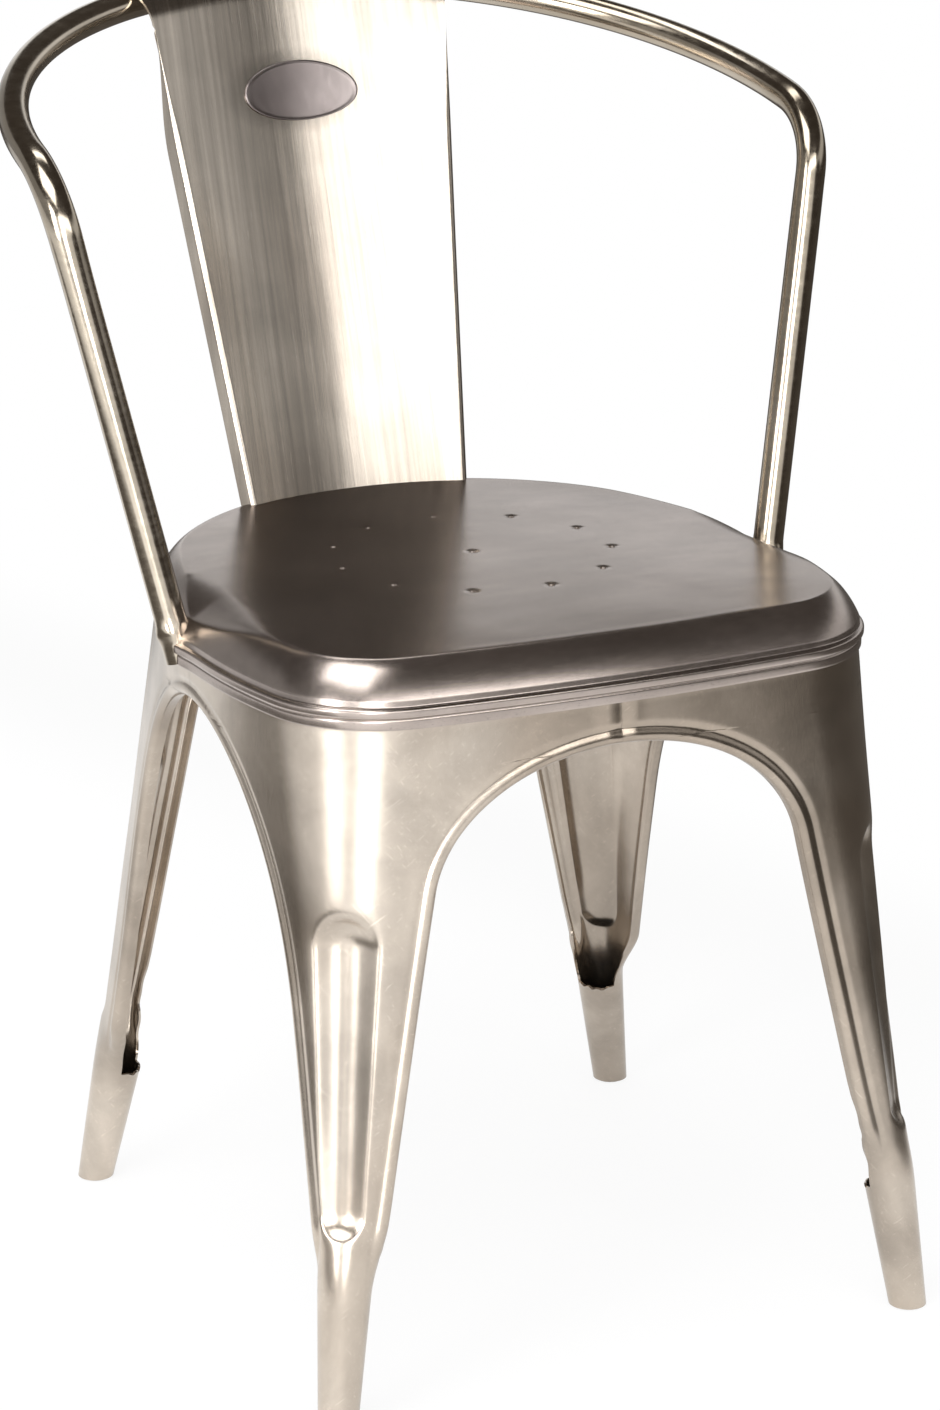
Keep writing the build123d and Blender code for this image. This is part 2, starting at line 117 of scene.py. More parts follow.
# Splat
SPLAT_LOW_Z = 436.0
SPLAT_LOW_Y = 137.5
SPLAT_LOW_R = 197.0
SPLAT_HALF = (74.5, 102.0)
SPLAT_FLANGE = 12.0
SPLAT_BEND = 4.0
SPLAT_ROLL_R = 26.0
SPLAT_ROLL_TURN = 31.0
SPLAT_BACK_TURN = 80.0
WELD_GAP = 0.2

# Oval plate
PLATE = (38.5, 19.25)
PLATE_Z = 695.0
PLATE_THICK = 1.0

# Finishes: the painted shade spot in the flutes with its fading per metre, and the range most of a noise
# lies in
FLUTE_SHADE_MID = (179.0, 241.5, 207.5)
FLUTE_SHADE_PACE = (40.0, 40.0, 11.5)
NOISE_SPAN = (0.3, 0.7)
WHITE = (1.0, 1.0, 1.0, 1.0)
VECTOR = "NodeSocketVector"
FLOAT = "NodeSocketFloat"


def smooth_step(low, high, value):
    """Cubic ramp from 0 at low to 1 at high."""
    t = np.clip((value - low) / (high - low), 0.0, 1.0)
    return t * t * (3.0 - 2.0 * t)


def mix(a, b, s):
    """Straight mix from a at s = 0 to b at s = 1."""
    return a + (b - a) * s


def bell(value, middle, wide):
    """Bell curve that is 1 at the middle and fades over the width."""
    return np.exp(-(((value - middle) / wide) ** 2))


def grid_faces(rows, columns, wrap=False):
    """Corner indices of the quads of a rows by columns grid, closed round the columns if wrap."""
    index = np.arange(rows * columns).reshape(rows, columns)
    if wrap:
        index = np.concatenate([index, index[:, :1]], axis=1)
    corners = [index[:-1, :-1], index[:-1, 1:], index[1:, 1:], index[1:, :-1]]
    return np.stack(corners, axis=-1).reshape(-1, 4)


def ripple(points, wave, seed):
    """Smooth repeatable unevenness: a sum of a few sine waves in seeded directions, about -1 to 1."""
    rng = np.random.default_rng(seed)
    way = rng.normal(size=(6, 3))
    way /= np.linalg.norm(way, axis=1, keepdims=True)
    phase = rng.uniform(0.0, 2.0 * np.pi, 6)
    pace = rng.uniform(0.6, 1.6, 6)
    return np.sin(points @ (way * pace[:, None]).T * (2.0 * np.pi / wave) + phase).sum(-1) / 3.0


def make_piece(name, node, slot, material, points, faces, wall=0.0, sharp=38.0):
    """Piece from millimetre points and faces.

    It is merged, given a wall inwards and smoothed below the sharp angle.
    """
    mesh = bpy.data.meshes.new(name)
    mesh.from_pydata((points.reshape(-1, 3) * MM).tolist(), [], faces.tolist())
    work = bmesh.new()
    work.from_mesh(mesh)
    bmesh.ops.remove_doubles(work, verts=work.verts, dist=MERGE * MM)
    bmesh.ops.dissolve_degenerate(work, edges=work.edges, dist=SLIVER * MM)
    work.to_mesh(mesh)
    work.free()
    piece = bpy.data.objects.new(name, mesh)
    bpy.context.scene.collection.objects.link(piece)
    if wall > 0.0:
        solid = piece.modifiers.new("wall", "SOLIDIFY")
        solid.thickness = wall * MM
        solid.offset = -1.0
        solid.use_quality_normals = True
        depsgraph = bpy.context.evaluated_depsgraph_get()
        piece.data = bpy.data.meshes.new_from_object(piece.evaluated_get(depsgraph))
        piece.data.name = name
        piece.modifiers.clear()
    piece.data.shade_smooth()
    piece.data.set_sharp_from_angle(angle=np.radians(sharp))
    piece.data.materials.clear()
    piece.data.materials.append(material)
    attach(piece, "root")
    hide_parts(node)
    return piece


# Plan outlines made of tangent arcs


def tangent_arcs(front, rear, r_front, r_side, r_rear):
    """Five tangent arcs of half an outline, front to rear.

    The last axis holds the arcs, as centres, radii, start and stop angles.
    """
    fx, fy, fr = front
    bx, by, br = rear
    front_y = fy + np.sqrt((r_front - fr) ** 2 - fx**2)
    rear_y = by - np.sqrt((r_rear - br) ** 2 - bx**2)
    gap = np.hypot(bx - fx, by - fy)
    along = ((r_side - fr) ** 2 - (r_side - br) ** 2 + gap**2) / (2.0 * gap)
    across = np.sqrt((r_side - fr) ** 2 - along**2)
    sx = fx + (along * (bx - fx) - across * (by - fy)) / gap
    sy = fy + (along * (by - fy) + across * (bx - fx)) / gap
    zero = np.zeros_like(sx)
    turns = [
        zero - np.pi / 2.0,
        np.arctan2(fy - front_y, fx),
        np.arctan2(fy - sy, fx - sx),
        np.arctan2(by - sy, bx - sx),
        np.arctan2(by - rear_y, bx),
        zero + np.pi / 2.0,
    ]
    return {
        "x": np.stack(np.broadcast_arrays(zero, fx, sx, bx, zero), -1),
        "y": np.stack(np.broadcast_arrays(front_y, fy, sy, by, rear_y), -1),
        "r": np.stack(np.broadcast_arrays(zero + r_front, fr, zero + r_side, br, zero + r_rear), -1),
        "start": np.stack(turns[:5], -1),
        "stop": np.stack(turns[1:], -1),
    }


def arc_starts(arcs):
    """Length along the outline at which each arc starts, and the whole length as the last entry."""
    lengths = arcs["r"] * (arcs["stop"] - arcs["start"])
    zero = np.zeros(lengths.shape[:-1] + (1,))
    return np.concatenate([zero, np.cumsum(lengths, -1)], -1)


def walk(arcs, s):
    """Points and outward normals in plan at lengths s along the outline, one row of s for each outline."""
    starts = arc_starts(arcs)
    x, y, nx, ny = (np.zeros_like(s) for _ in range(4))
    for k in range(5):
        begin = starts[..., k : k + 1]
        radius = arcs["r"][..., k : k + 1]
        here = s >= begin - 1e-9
        turn = arcs["start"][..., k : k + 1] + (s - begin) / radius
        nx = np.where(here, np.cos(turn), nx)
        ny = np.where(here, np.sin(turn), ny)
        x = np.where(here, arcs["x"][..., k : k + 1] + radius * np.cos(turn), x)
        y = np.where(here, arcs["y"][..., k : k + 1] + radius * np.sin(turn), y)
    return x, y, nx, ny


# Legs


def foot_axis(end, z):
    """Middle of the leaning foot tube at height z, on the right side."""
    x, y, lean_x, lean_y = FEET[end]
    return x - lean_x * z, y - lean_y * z


def leg_arcs(z):
    """Outline of the leg shell at heights z, from the seat's plan at the rim to small corners below."""
    s = np.clip((RIM_Z - z) / (RIM_Z - FOOT_TOP), 0.0, 1.0)
    low_r = FOOT_R_TOP - FOOT_INSET
    half = np.sqrt(0.5)
    fx, fy = foot_axis("front", FOOT_TOP)
    bx, by = foot_axis("rear", FOOT_TOP)
    cx, cy, cr = SEAT_ARCS["front"]
    rx, ry, rr = SEAT_ARCS["rear"]
    hollow = LEG_HOLLOW * 4.0 * s * (1.0 - s)
    fr = mix(cr - SKIRT_IN, low_r, s)
    br = low_r + (rr - SKIRT_IN - low_r) * (1.0 - s) ** 1.5
    reach_x = mix(cx + (cr - SKIRT_IN) * half, fx + low_r * half, s) - hollow * half
    reach_y = mix(cy - (cr - SKIRT_IN) * half, fy - low_r * half, s) + hollow * half
    back_x = mix(rx + (rr - SKIRT_IN) * half, bx + low_r * half, s)
    back_y = mix(ry + (rr - SKIRT_IN) * half, by + low_r * half, s)
    return tangent_arcs(
        (reach_x - fr * half, reach_y + fr * half, fr),
        (back_x - br * half, back_y - br * half, br),
        1.0 / mix(1.0 / (SEAT_ARCS["r_front"] - SKIRT_IN), 1.0 / LOW_SIDE_R, s),
        1.0 / mix(1.0 / (SEAT_ARCS["r_side"] - SKIRT_IN), 1.0 / LOW_SIDE_R, s),
        1.0 / mix(1.0 / (SEAT_ARCS["r_rear"] - SKIRT_IN), 1.0 / LOW_SIDE_R, s),
    )


def arch_edge(z, half, rise, top, join, flare):
    """Half width of an arch at heights z: an elliptic crown, straight sides and a softly flared foot."""
    turn = np.radians(join)
    mid = top - rise
    join_z = mid + rise * np.sin(turn)
    slope = np.tan(turn) * half / rise
    crown = half * np.sqrt(np.clip(1.0 - ((z - mid) / rise) ** 2, 0.0, None))
    spread = (flare - slope) * FLARE_SOFT * np.logaddexp(0.0, (FLARE_Z - z) / FLARE_SOFT)
    side = half * np.cos(turn) + slope * (join_z - z) + spread
    return np.where(z >= top, 0.0, np.where(z >= join_z, crown, side))


def arch_gap(across, z, half, rise, top, join, flare):
    """Distance of a point of the sheet from the arch's edge.

    It comes from the gradient of the ellipse over the crown and from the side line below.
    """
    turn = np.radians(join)
    mid = top - rise
    join_z = mid + rise * np.sin(turn)
    up = (z - mid) / rise
    out = across / half
    level = np.sqrt(out**2 + up**2)
    steep = np.sqrt((out / half) ** 2 + (up / rise) ** 2) / np.maximum(level, 1e-6)
    crown = (level - 1.0) / np.maximum(steep, 1e-6)
    slope = np.tan(turn) * half / rise
    side = (across - arch_edge(z, half, rise, top, join, flare)) * np.cos(np.arctan(slope))
    return np.where(z >= join_z, crown, side)


def rolled_edge(gap):
    """Height of the rolled edge over the sheet at a distance from its brink.

    A quarter round brink is followed by a bead, a shallow groove and the plain sheet.
    """
    brink = -ROLL + np.sqrt(np.clip(ROLL**2 - (ROLL - np.clip(gap, 0.0, ROLL)) ** 2, 0.0, None))
    return brink + 0.5 * bell(gap, 4.6, 2.2) - 0.9 * bell(gap, 9.6, 2.0)


def flute_depth(end, side, points):
    """How far the flute presses the sheet in.

    The distance to a tapering stadium on the corner, as a share of its half width, is softened at the brink
    and turned into a round-bottomed depth. The front flutes are turned differently round their corners.
    """
    turn = np.radians(FLUTE_TURN[f"{end}_{side}"])
    z = np.array(FLUTE_Z)
    arcs = leg_arcs(z)
    k = 1 if end == "front" else 3
    reach = arcs["r"][:, k]
    end_x = arcs["x"][:, k] + reach * np.cos(turn)
    end_y = arcs["y"][:, k] + reach * np.sin(turn)
    ends = np.stack([end_x, end_y, z], -1)
    axis = ends[1] - ends[0]
    share = np.clip(((points - ends[0]) @ axis) / (axis @ axis), 0.0, 1.0)
    away = np.linalg.norm(points - (ends[0] + share[..., None] * axis), axis=-1)
    half = mix(FLUTE_HALF[0], FLUTE_HALF[1], share)
    inside = (half - away) / half
    inside = np.clip(0.5 * (inside + np.sqrt(inside**2 + FLUTE_SOFT**2)), 0.0, 1.0)
    return mix(FLUTE_DEEP[0], FLUTE_DEEP[1], share) * (1.0 - (1.0 - inside) ** FLUTE_ROUND)


def leg_rows():
    """Heights of the rows.

    They are close together at the two arch crowns, wider along the leg and closer again at the foot.
    """
    crown, side = ARCH["top"], SIDE_ARCH["top"]
    return np.concatenate(
        [
            np.linspace(LEG_TOP, side + 14.0, 6)[:-1],
            np.linspace(side + 14.0, side, 24)[:-1],
            np.linspace(side, crown, 13)[:-1],
            np.linspace(crown, crown - 9.0, 22)[:-1],
            crown - 9.0 - 36.0 * np.linspace(0.0, 1.0, 30)[:-1] ** 1.6,
            np.linspace(crown - 45.0, 130.0, 84)[:-1],
            np.linspace(130.0, FOOT_MOUTH, 40)[:-1],
            np.linspace(FOOT_MOUTH, FOOT_END, 30),
        ]
    )


def leg_brinks(end, z, arcs):
    """Lengths along the outline at which a leg's sheet starts and stops: the edges of its two arches."""
    starts = arc_starts(arcs)
    wide = np.maximum(arch_edge(z, **ARCH), SEAM_HALF)
    deep = np.maximum(arch_edge(z, **SIDE_ARCH), SEAM_HALF)
    rough = 1.3 * smooth_step(150.0, 100.0, z) * ripple(np.stack([0 * z, 0 * z, z], -1), 17.0, 5)
    if end == "front":
        first = arcs["r"][:, 0] * np.arcsin((wide + rough) / arcs["r"][:, 0])
        last_y = SIDE_SEAM_Y - deep
    else:
        turn = np.arccos(np.clip((wide + rough) / arcs["r"][:, 4], -1.0, 1.0))
        first = starts[:, 4] + arcs["r"][:, 4] * (turn - arcs["start"][:, 4])
        last_y = SIDE_SEAM_Y + deep
    side_turn = np.arcsin((last_y - arcs["y"][:, 2]) / arcs["r"][:, 2])
    last = starts[:, 2] + arcs["r"][:, 2] * (side_turn - arcs["start"][:, 2])
    return (first, last) if end == "front" else (last, first)


def leg_lift(end, side, points, out_side, out_end):
    """How far the sheet stands out of the shell's outline: rolled edges, seam weld, flute and slight waves.

    An arch's edge counts only where the sheet faces that arch's side.
    """
    x, y, z = np.moveaxis(points, -1, 0)
    arch_part = np.where(out_end > FACING, arch_gap(np.abs(x), z, **ARCH), FAR_OFF)
    side_part = np.where(out_side > FACING, arch_gap(np.abs(y - SIDE_SEAM_Y), z, **SIDE_ARCH), FAR_OFF)
    lift = (rolled_edge(arch_part) + rolled_edge(side_part)) * smooth_step(*LIP_FADE, z)
    weld = -0.7 * bell(x, 0.0, 3.5) + 0.35 * bell(x, 9.0, 4.0)
    lift = lift + np.where(out_end > FACING, weld * smooth_step(383.0, 392.0, z), 0.0)
    return lift - flute_depth(end, side, points) + 0.12 * ripple(points, 70.0, 11)


def leg_shell(end, side):
    """Leg as a grid, drawn on the right.

    Rows are heights. Columns run from brink to brink round the corner, with a turned-in lip at each brink.
    Below the shell the columns curl round the foot tube, and a second grid closes the tube's inner side
    under a rough mouth.
    """
    z = leg_rows()
    arcs = leg_arcs(z)
    low, high = leg_brinks(end, z, arcs)
    steps = np.array(EDGE_STEPS)
    near = low[:, None] + steps
    far = high[:, None] - steps[::-1]
    middle = mix(near[:, -1:], far[:, :1], np.linspace(0.0, 1.0, 64)[1:-1])
    s = np.concatenate([near, middle, far], axis=1)
    x, y, nx, ny = walk(arcs, s)
    points = np.stack([x, y, np.repeat(z[:, None], s.shape[1], axis=1)], -1)
    out = np.stack([nx, ny, np.zeros_like(nx)], -1)
    lift = leg_lift(end, side, points, nx, -ny if end == "front" else ny)
    points = points + out * lift[..., None]
    tops = (ARCH["top"], SIDE_ARCH["top"])
    lips = []
    for column, top in zip((0, -1), tops if end == "front" else tops[::-1]):
        turned = ((z <= top) * smooth_step(*LIP_FADE, z))[:, None, None]
        depth = np.array([0.3, 0.65, 1.0])[None, :, None] * (LIP - ROLL) * turned
        lips.append(points[:, [column]] - out[:, [column]] * depth)
    points = np.concatenate([lips[0][:, ::-1], points, lips[1]], axis=1)
    count = points.shape[1]
    around = np.clip((np.arange(count) - 3) / (count - 7), 0.0, 1.0)
    span = np.radians(FOOT_SPAN)
    corner = np.radians(-45.0 if end == "front" else 45.0)
    points = curl_foot(end, points, z, corner, (around - 0.5) * span)
    back_turn = corner + span / 2.0 + np.linspace(0.0, 2.0 * np.pi - span, 25)
    back = foot_ring(end, back_turn, z[z <= FOOT_MOUTH])
    jag = np.sin(np.pi * np.linspace(0.0, 1.0, 25))
    back[0, :, 2] -= jag * (2.2 + 1.3 * ripple(back[0], 9.0, 3))
    faces = grid_faces(*points.shape[:2])
    back_faces = grid_faces(*back.shape[:2]) + points.shape[0] * points.shape[1]
    whole = np.concatenate([points.reshape(-1, 3), back.reshape(-1, 3)])
    return whole, np.concatenate([faces, back_faces])


def foot_radius(z):
    """Outside radius of the foot tube, which grows with height."""
    return FOOT_R_FLOOR + (FOOT_R_TOP - FOOT_R_FLOOR) * z / FOOT_TOP


def curl_foot(end, points, z, corner, turn):
    """Curls the lower rows round the foot tube.

    Their angle and distance about its axis run over into those of the tube.
    """
    mid_x, mid_y = foot_axis(end, z)
    away = (points[..., 0] - mid_x[:, None]) + 1j * (points[..., 1] - mid_y[:, None])
    away = away * np.exp(-1j * corner)
    curl = smooth_step(*CURL_Z, z)[:, None]
    distance = mix(np.abs(away), foot_radius(z)[:, None], curl)
    angle = mix(np.angle(away), turn[None], curl) + corner
    x = mid_x[:, None] + distance * np.cos(angle)
    y = mid_y[:, None] + distance * np.sin(angle)
    return np.where(curl[..., None] > 0.0, np.stack([x, y, points[..., 2]], -1), points)


def foot_ring(end, turn, z):
    """Foot tube's outside: circles that grow with height along the leaning axis."""
    mid_x, mid_y = foot_axis(end, z)
    radius = foot_radius(z)[:, None]
    x = mid_x[:, None] + radius * np.cos(turn)
    y = mid_y[:, None] + radius * np.sin(turn)
    return np.stack([x, y, np.repeat(z[:, None], len(turn), axis=1)], -1)


def build_legs(material):
    """The four legs. The left ones are mirrored, and the right ones have their faces turned over."""
    for end in ("front", "rear"):
        for side in ("right", "left"):
            points, faces = leg_shell(end, side)
            name = f"leg_{end}_{side}"
            if side == "left":
                points = points * (-1, 1, 1)
            else:
                faces = faces[:, ::-1]
            make_piece(name + "_sheet", name, "leg_steel", material, points, faces, wall=SHEET)


# Seat pan


def seat_outline(inset):
    """Whole seat outline moved in by inset, as points that run once round the seat."""
    arcs = tangent_arcs(**SEAT_ARCS)
    whole = arc_starts(arcs)[-1]
    x, y, nx, ny = walk(arcs, np.linspace(0.0, whole, 1500)[None])
    x, y = (x - inset * nx)[0], (y - inset * ny)[0]
    return np.concatenate([x, -x[::-1]]), np.concatenate([y, y[::-1]])


def seat_reach(inset, turn):
    """Distance from the drain ring's middle to the outline moved in by inset, in the directions turn."""
    x, y = seat_outline(inset)
    dx, dy = x - DRAIN_MID[0], y - DRAIN_MID[1]
    order = np.argsort(np.arctan2(dy, dx))
    return np.interp(turn, np.arctan2(dy, dx)[order], np.hypot(dx, dy)[order], period=2.0 * np.pi)


def seat_profile():
    """Edge of the pan as insets and heights, from the crease over the rounding, the bead and the band.

    The rounding is an arc that EDGE_FLAT flattens towards a straight slope.
    """
    turn = np.radians(np.linspace(14.0, 90.0, 22))
    turned = (np.sin(turn) - np.sin(turn[0])) / (1.0 - np.sin(turn[0]))
    round_in = (CREASE_IN - WALL_IN) * (1.0 - turned) + WALL_IN
    drop = CREASE_Z - BAND_TOP - 3.0
    round_z = CREASE_Z - drop * (np.cos(turn[0]) - np.cos(turn)) / np.cos(turn[0])
    down = (CREASE_Z - round_z) / drop
    round_in = mix(round_in, CREASE_IN + (WALL_IN - CREASE_IN) * down, EDGE_FLAT)
    bead = np.sin(np.radians(np.linspace(84.0, -84.0, 15)))
    bead_mid = (BAND_TOP + BEAD_LOW) / 2.0
    bead_in = 0.3 - 0.7 * BEAD_OUT * (1.0 - bead**4)
    bead_z = bead_mid + (BAND_TOP - BEAD_LOW) / 2.0 * bead
    band_in = np.array([0.45, 0.1, 0.0, 0.0, 0.0, 0.05, 0.25, 0.6])
    band_z = np.array([BEAD_LOW - 0.4, BEAD_LOW - 1.0, 414.8, 413.2, 411.6, 410.6, 410.15, RIM_Z])
    groove_in = np.array([WALL_IN + 0.1, WALL_IN - 0.3])
    groove_z = np.array([BAND_TOP + 0.9, BAND_TOP + 0.25])
    return (
        np.concatenate([round_in, groove_in, bead_in, band_in]),
        np.concatenate([round_z, groove_z, bead_z, band_z]),
    )


def seat_surface():
    """Seat pan as a polar grid round the middle drain hole.

    Rings grow from the middle hole to the drain ring and the crease, then follow the edge profile. Columns
    are closer together at the drain holes, where square cells are turned into round ones and the middle
    ones left out.
    """
    close = [0.0, 0.67, 1.33, 2.0, 2.7, 3.5, 4.5, 5.7, 7.0, 8.4]
    side = np.array(close + [9.9, 11.4, 12.9, 14.5, 16.1, 17.7, 19.3, 20.9, 22.4])
    local = np.concatenate([-side[:0:-1], side]) / DRAIN_RING
    step = 2.0 * np.pi / DRAIN_COUNT
    turn = (np.radians(DRAIN_TURN) + np.arange(DRAIN_COUNT)[:, None] * step + local).ravel()
    hole_x = np.tile(local * DRAIN_RING, DRAIN_COUNT)
    ring = np.concatenate(
        [
            [DRAIN_R, 2.7, 3.5, 4.5, 5.8, 7.5, 9.5, 12.0, 16.0, 22.0, 30.0, 40.0, 50.0, 59.0, 66.0, 71.5],
            DRAIN_RING + np.concatenate([-side[9:0:-1], side[:10]]),
        ]
    )
    crease = seat_reach(CREASE_IN, turn)
    inner = seat_reach(CREASE_IN + 1.2, turn)
    share = np.array([0.12, 0.25, 0.38, 0.5, 0.62, 0.73, 0.83, 0.91, 0.97])
    rest = ring[-1] + (inner[None] - ring[-1]) * share[:, None]
    insets, heights = seat_profile()
    edge = np.stack([seat_reach(d, turn) for d in insets])
    reach = np.concatenate([np.repeat(ring[:, None], len(turn), axis=1), rest, inner[None], edge])
    crown = (SEAT_Z - CREASE_Z) * np.clip(reach / crease, 0.0, 1.0) ** 3
    z = SEAT_Z - crown
    z[-len(heights) :] = heights[:, None]
    z[-len(heights) - 1] += 0.1
    hole_y = reach - DRAIN_RING
    square = np.maximum(np.abs(hole_x)[None], np.abs(hole_y))
    round_r = np.hypot(hole_x[None], hole_y)
    blend = smooth_step(8.0, 3.0, square) * (reach < ring[-1] + 0.1)
    swell = mix(1.0, square / np.maximum(round_r, 1e-6), blend)
    arc = hole_x[None] * (swell - 1.0) / DRAIN_RING
    reach = reach + hole_y * (swell - 1.0)
    angle = turn[None] + arc
    from_hole = np.where(reach < ring[-1] + 12.0, round_r * swell, FAR_OFF)
    from_hole = np.minimum(from_hole, reach)
    z = z - DIMPLE_DEEP * smooth_step(DIMPLE_R, DRAIN_R * 0.6, from_hole)
    x = DRAIN_MID[0] + reach * np.cos(angle)
    y = DRAIN_MID[1] + reach * np.sin(angle)
    points = np.stack([x, y, z], -1)
    for sign in (-1.0, 1.0):
        points = bulge_socket(press_dent(points, sign), sign)
    points[..., 2] += 0.1 * ripple(points, 90.0, 21) * (reach < crease)
    faces = grid_faces(*points.shape[:2], wrap=True)
    punched = (square < DRAIN_R + 0.05) & (reach < ring[-1])
    inside = punched.ravel()[faces].all(axis=1)
    return points, faces[~inside][:, ::-1]


def bulge_socket(points, sign):
    """Band and bead swelled out round the end of each tube: a bell-shaped push along the seat's side."""
    push = 4.0 * bell(points[..., 1], TUBE_FOOT[1], 19.0) * smooth_step(433.0, 421.0, points[..., 2])
    push = push * (points[..., 0] * sign > 150.0)
    return points + push[..., None] * np.array([sign, 0.0, 0.0])


def press_dent(points, sign):
    """Fold pressed into the rounded edge beside each tube.

    A ruled face runs out and down from the seat's brink. It is steepest at the tube and flattens towards
    the front corner, so that its ridge runs from the foot of the tube up to the brink.
    """
    start = np.array([170.5, -15.0])
    way = np.array([6.0, -120.0]) / np.hypot(6.0, 120.0)
    tube_at, to_front, to_rear = 42.0, 100.0, 55.0
    dx, dy = points[..., 0] * sign - start[0], points[..., 1] - start[1]
    along = dx * way[0] + dy * way[1]
    out = -dx * way[1] + dy * way[0]
    past = along - tube_at
    fall = np.where(past > 0.0, 1.0 - past / to_front, 1.0 + past / to_rear)
    face = CREASE_Z + 1.0 - (0.28 + 0.33 * np.clip(fall, 0.0, 1.0)) * out
    over = points[..., 2] - face
    cut = 0.5 * (over + np.sqrt(over**2 + 0.5)) * smooth_step(0.0, 0.1, fall)
    cut = cut * smooth_step(-1.5, 1.5, out) * smooth_step(424.5, 428.0, points[..., 2])
    return points - cut[..., None] * np.array([0.0, 0.0, 1.0])


# Arm and back tube


def tube_path():
    """Middle line of the tube from the right foot over the shoulder and the round back to the left foot."""
    tilt = np.radians(LOOP_TILT)
    mid = np.array(LOOP_MID)
    over = np.array([0.0, np.cos(tilt), np.sin(tilt)])
    right = np.array([1.0, 0.0, 0.0])
    turn = np.radians(LOOP_START)
    begin = mid + LOOP_R * (np.cos(turn) * right + np.sin(turn) * over)
    arm = -np.sin(turn) * right + np.cos(turn) * over
    foot = np.array(TUBE_FOOT)
    shoulder = begin - arm * SHOULDER_R
    for _ in range(12):
        way = (shoulder - foot) / np.linalg.norm(shoulder - foot)
        bend = np.arccos(way @ arm)
        shoulder = begin - arm * SHOULDER_R * np.tan(bend / 2.0)
    leg_end = shoulder - way * SHOULDER_R * np.tan(bend / 2.0)
    out = arm - way * (way @ arm)
    out /= np.linalg.norm(out)
    sweep = np.linspace(0.0, bend, 48)[:, None]
    straight = foot + (leg_end - foot) * np.linspace(0.0, 1.0, 90)[:-1, None]
    elbow = leg_end + SHOULDER_R * (np.sin(sweep) * way + (1.0 - np.cos(sweep)) * out)
    loop_turn = np.linspace(turn, np.pi / 2.0, 130)[1:, None]
    loop = mid + LOOP_R * (np.cos(loop_turn) * right + np.sin(loop_turn) * over)
    half = np.concatenate([straight, elbow, loop])
    return np.concatenate([half, (half * (-1, 1, 1))[-2::-1]]), leg_end


def tube_surface():
    """Round tube carried along its middle line.

    It is a little flattened through the shoulder bends and has lumps of weld at its feet.
    """
    path, leg_end = tube_path()
    way = np.gradient(path, axis=0)
    way /= np.linalg.norm(way, axis=1, keepdims=True)
    inward = np.array([0.0, LOOP_MID[1], LOOP_MID[2]]) - path
    inward -= way * (inward * way).sum(1, keepdims=True)
    inward /= np.linalg.norm(inward, axis=1, keepdims=True)
    aside = np.cross(way, inward)
    turn = np.linspace(0.0, 2.0 * np.pi, 41)[:-1]
    mirrored = np.abs(path) * (1, 0, 1) + path * (0, 1, 0)
    from_bend = np.linalg.norm(mirrored - leg_end - (0.0, 8.0, 14.0), axis=1)
    squeeze = 0.06 * bell(from_bend, 0.0, 30.0)[:, None]
    radius = TUBE_R * (1.0 + squeeze * np.cos(2.0 * (turn - 0.6)))
    height = path[:, 2:] + 0.0 * radius
    lumps = ripple(np.stack([radius * np.cos(turn), radius * np.sin(turn), height], -1), 11.0, 31)
    radius = radius + (1.1 + 0.7 * lumps) * bell(height, TUBE_WELD_Z, 4.5)
    ring = path[:, None] + radius[..., None] * (
        np.cos(turn)[:, None] * inward[:, None] + np.sin(turn)[:, None] * aside[:, None]
    )
    return ring, grid_faces(*ring.shape[:2], wrap=True)


# Splat and its plate


def loop_point(across, out, up):
    """Point over the tilted plane of the back loop, from angle across, radius and height over the plane."""
    tilt = np.radians(LOOP_TILT)
    mid = np.array(LOOP_MID)
    flat_x = out * np.sin(across)
    flat_y = out * np.cos(across)
    y = mid[1] + flat_y * np.cos(tilt) - up * np.sin(tilt)
    z = mid[2] + flat_y * np.sin(tilt) + up * np.cos(tilt)
    return np.stack(np.broadcast_arrays(flat_x, y, z), -1)


def splat_sizes():
    """Radius and height of the splat's face where its roll starts, and the roll's middle height."""
    turn = np.radians(SPLAT_ROLL_TURN)
    roll_mid = TUBE_R + WELD_GAP - SPLAT_ROLL_R
    face = LOOP_R - SPLAT_ROLL_R * np.cos(turn) - SHEET / np.cos(turn)
    return face, roll_mid + SPLAT_ROLL_R * np.sin(turn), roll_mid


def splat_point(pos_share, depth, v):
    """Point of the splat, from share of the half width, depth behind the face and share of the height."""
    face, roll_h, _ = splat_sizes()
    low_turn = pos_share * np.arcsin(SPLAT_HALF[0] / SPLAT_LOW_R)
    low_r = SPLAT_LOW_R + depth
    low = np.stack(
        np.broadcast_arrays(
            low_r * np.sin(low_turn),
            SPLAT_LOW_Y - SPLAT_LOW_R + low_r * np.cos(low_turn),
            SPLAT_LOW_Z + 0.0 * low_turn,
        ),
        -1,
    )
    top_turn = pos_share * np.arcsin(SPLAT_HALF[1] / face)
    top = loop_point(top_turn, face + depth, roll_h)
    return mix(low, top, v[..., None])


